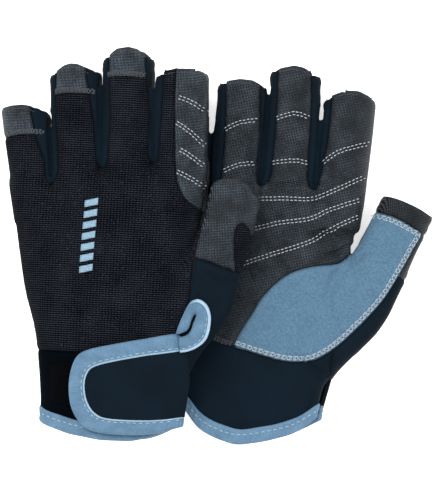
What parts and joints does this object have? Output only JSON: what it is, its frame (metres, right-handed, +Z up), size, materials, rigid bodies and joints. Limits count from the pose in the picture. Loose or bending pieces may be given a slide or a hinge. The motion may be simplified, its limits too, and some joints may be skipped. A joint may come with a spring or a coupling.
{
  "type": "pair of short-finger sailing gloves",
  "caption": "Pair of short-finger sailing gloves lying flat: knitted back, grained leather palm, suede thumb patch, taped cuff and a fold-over wrist tab",
  "frame": {"origin": "centre of the pair's footprint, on the surface the gloves lie on", "axes": "+X towards the thumbs, +Y towards the fingertips, +Z up from the surface"},
  "size_m": [0.207, 0.1906, 0.0457],
  "materials": {
    "knit": "black ribbed stretch knit, matt",
    "grained_leather": "black synthetic leather with a fine diamond grain, low sheen",
    "neoprene": "black jersey-faced neoprene, matt",
    "blue_suede": "blue-grey brushed synthetic suede, matt",
    "blue_tape": "blue-grey folded binding tape, soft sheen",
    "hook_and_loop": "black hook-and-loop fastener",
    "blue_print": "pale blue rubbery print"
  },
  "bodies": {
    "right_glove": {"right_thumb_end": "grained_leather", "right_thumb_heel_suede": "blue_suede", "right_thumb_sleeve": "grained_leather", "right_thumb_base": "neoprene", "right_fourchette_little_ring": "neoprene", "right_fourchette_ring_middle": "neoprene", "right_fourchette_middle_index": "neoprene", "right_tip_patch_little": "grained_leather", "right_tip_patch_ring": "grained_leather", "right_tip_patch_middle": "grained_leather", "right_index_wrap": "grained_leather", "right_cuff_back": "neoprene", "right_cuff_palm": "neoprene", "right_back_panel": "knit", "right_palm_panel": "grained_leather", "right_loop_patch": "hook_and_loop", "right_vent_binding": "blue_tape", "right_hem_binding": "blue_tape"},
    "right_tab": {"right_tab": "neoprene", "right_tab_binding": "blue_tape", "right_tab_hook": "hook_and_loop"},
    "left_glove": {"left_thumb_end": "grained_leather", "left_thumb_heel_suede": "blue_suede", "left_thumb_sleeve": "grained_leather", "left_thumb_base": "neoprene", "left_fourchette_little_ring": "neoprene", "left_fourchette_ring_middle": "neoprene", "left_fourchette_middle_index": "neoprene", "left_tip_patch_little": "grained_leather", "left_tip_patch_ring": "grained_leather", "left_tip_patch_middle": "grained_leather", "left_index_wrap": "grained_leather", "left_cuff_back": "neoprene", "left_cuff_palm": "neoprene", "left_back_panel": "knit", "left_palm_panel": "grained_leather", "left_loop_patch": "hook_and_loop", "left_vent_binding": "blue_tape", "left_hem_binding": "blue_tape", "left_printed_mark": "blue_print"},
    "left_tab": {"left_tab": "neoprene", "left_tab_binding": "blue_tape", "left_tab_hook": "hook_and_loop"}
  },
  "joints": [
    {"name": "left_glove_lift", "type": "slide", "parent": "right_glove", "child": "left_glove", "axis": [0, 0, 1], "range_m": [0, 0.1]},
    {"name": "left_tab_hinge", "type": "hinge", "parent": "left_glove", "child": "left_tab", "pos_m": [-0.01767, -0.06525, 0.03648], "axis": [0.0217, 0.9897, 0.1414], "range_deg": [0, 140]},
    {"name": "right_tab_hinge", "type": "hinge", "parent": "right_glove", "child": "right_tab", "pos_m": [0.0515, -0.07107, 0.00692], "axis": [0.1274, 0.9718, -0.1982], "range_deg": [-140, 0]}
  ]
}
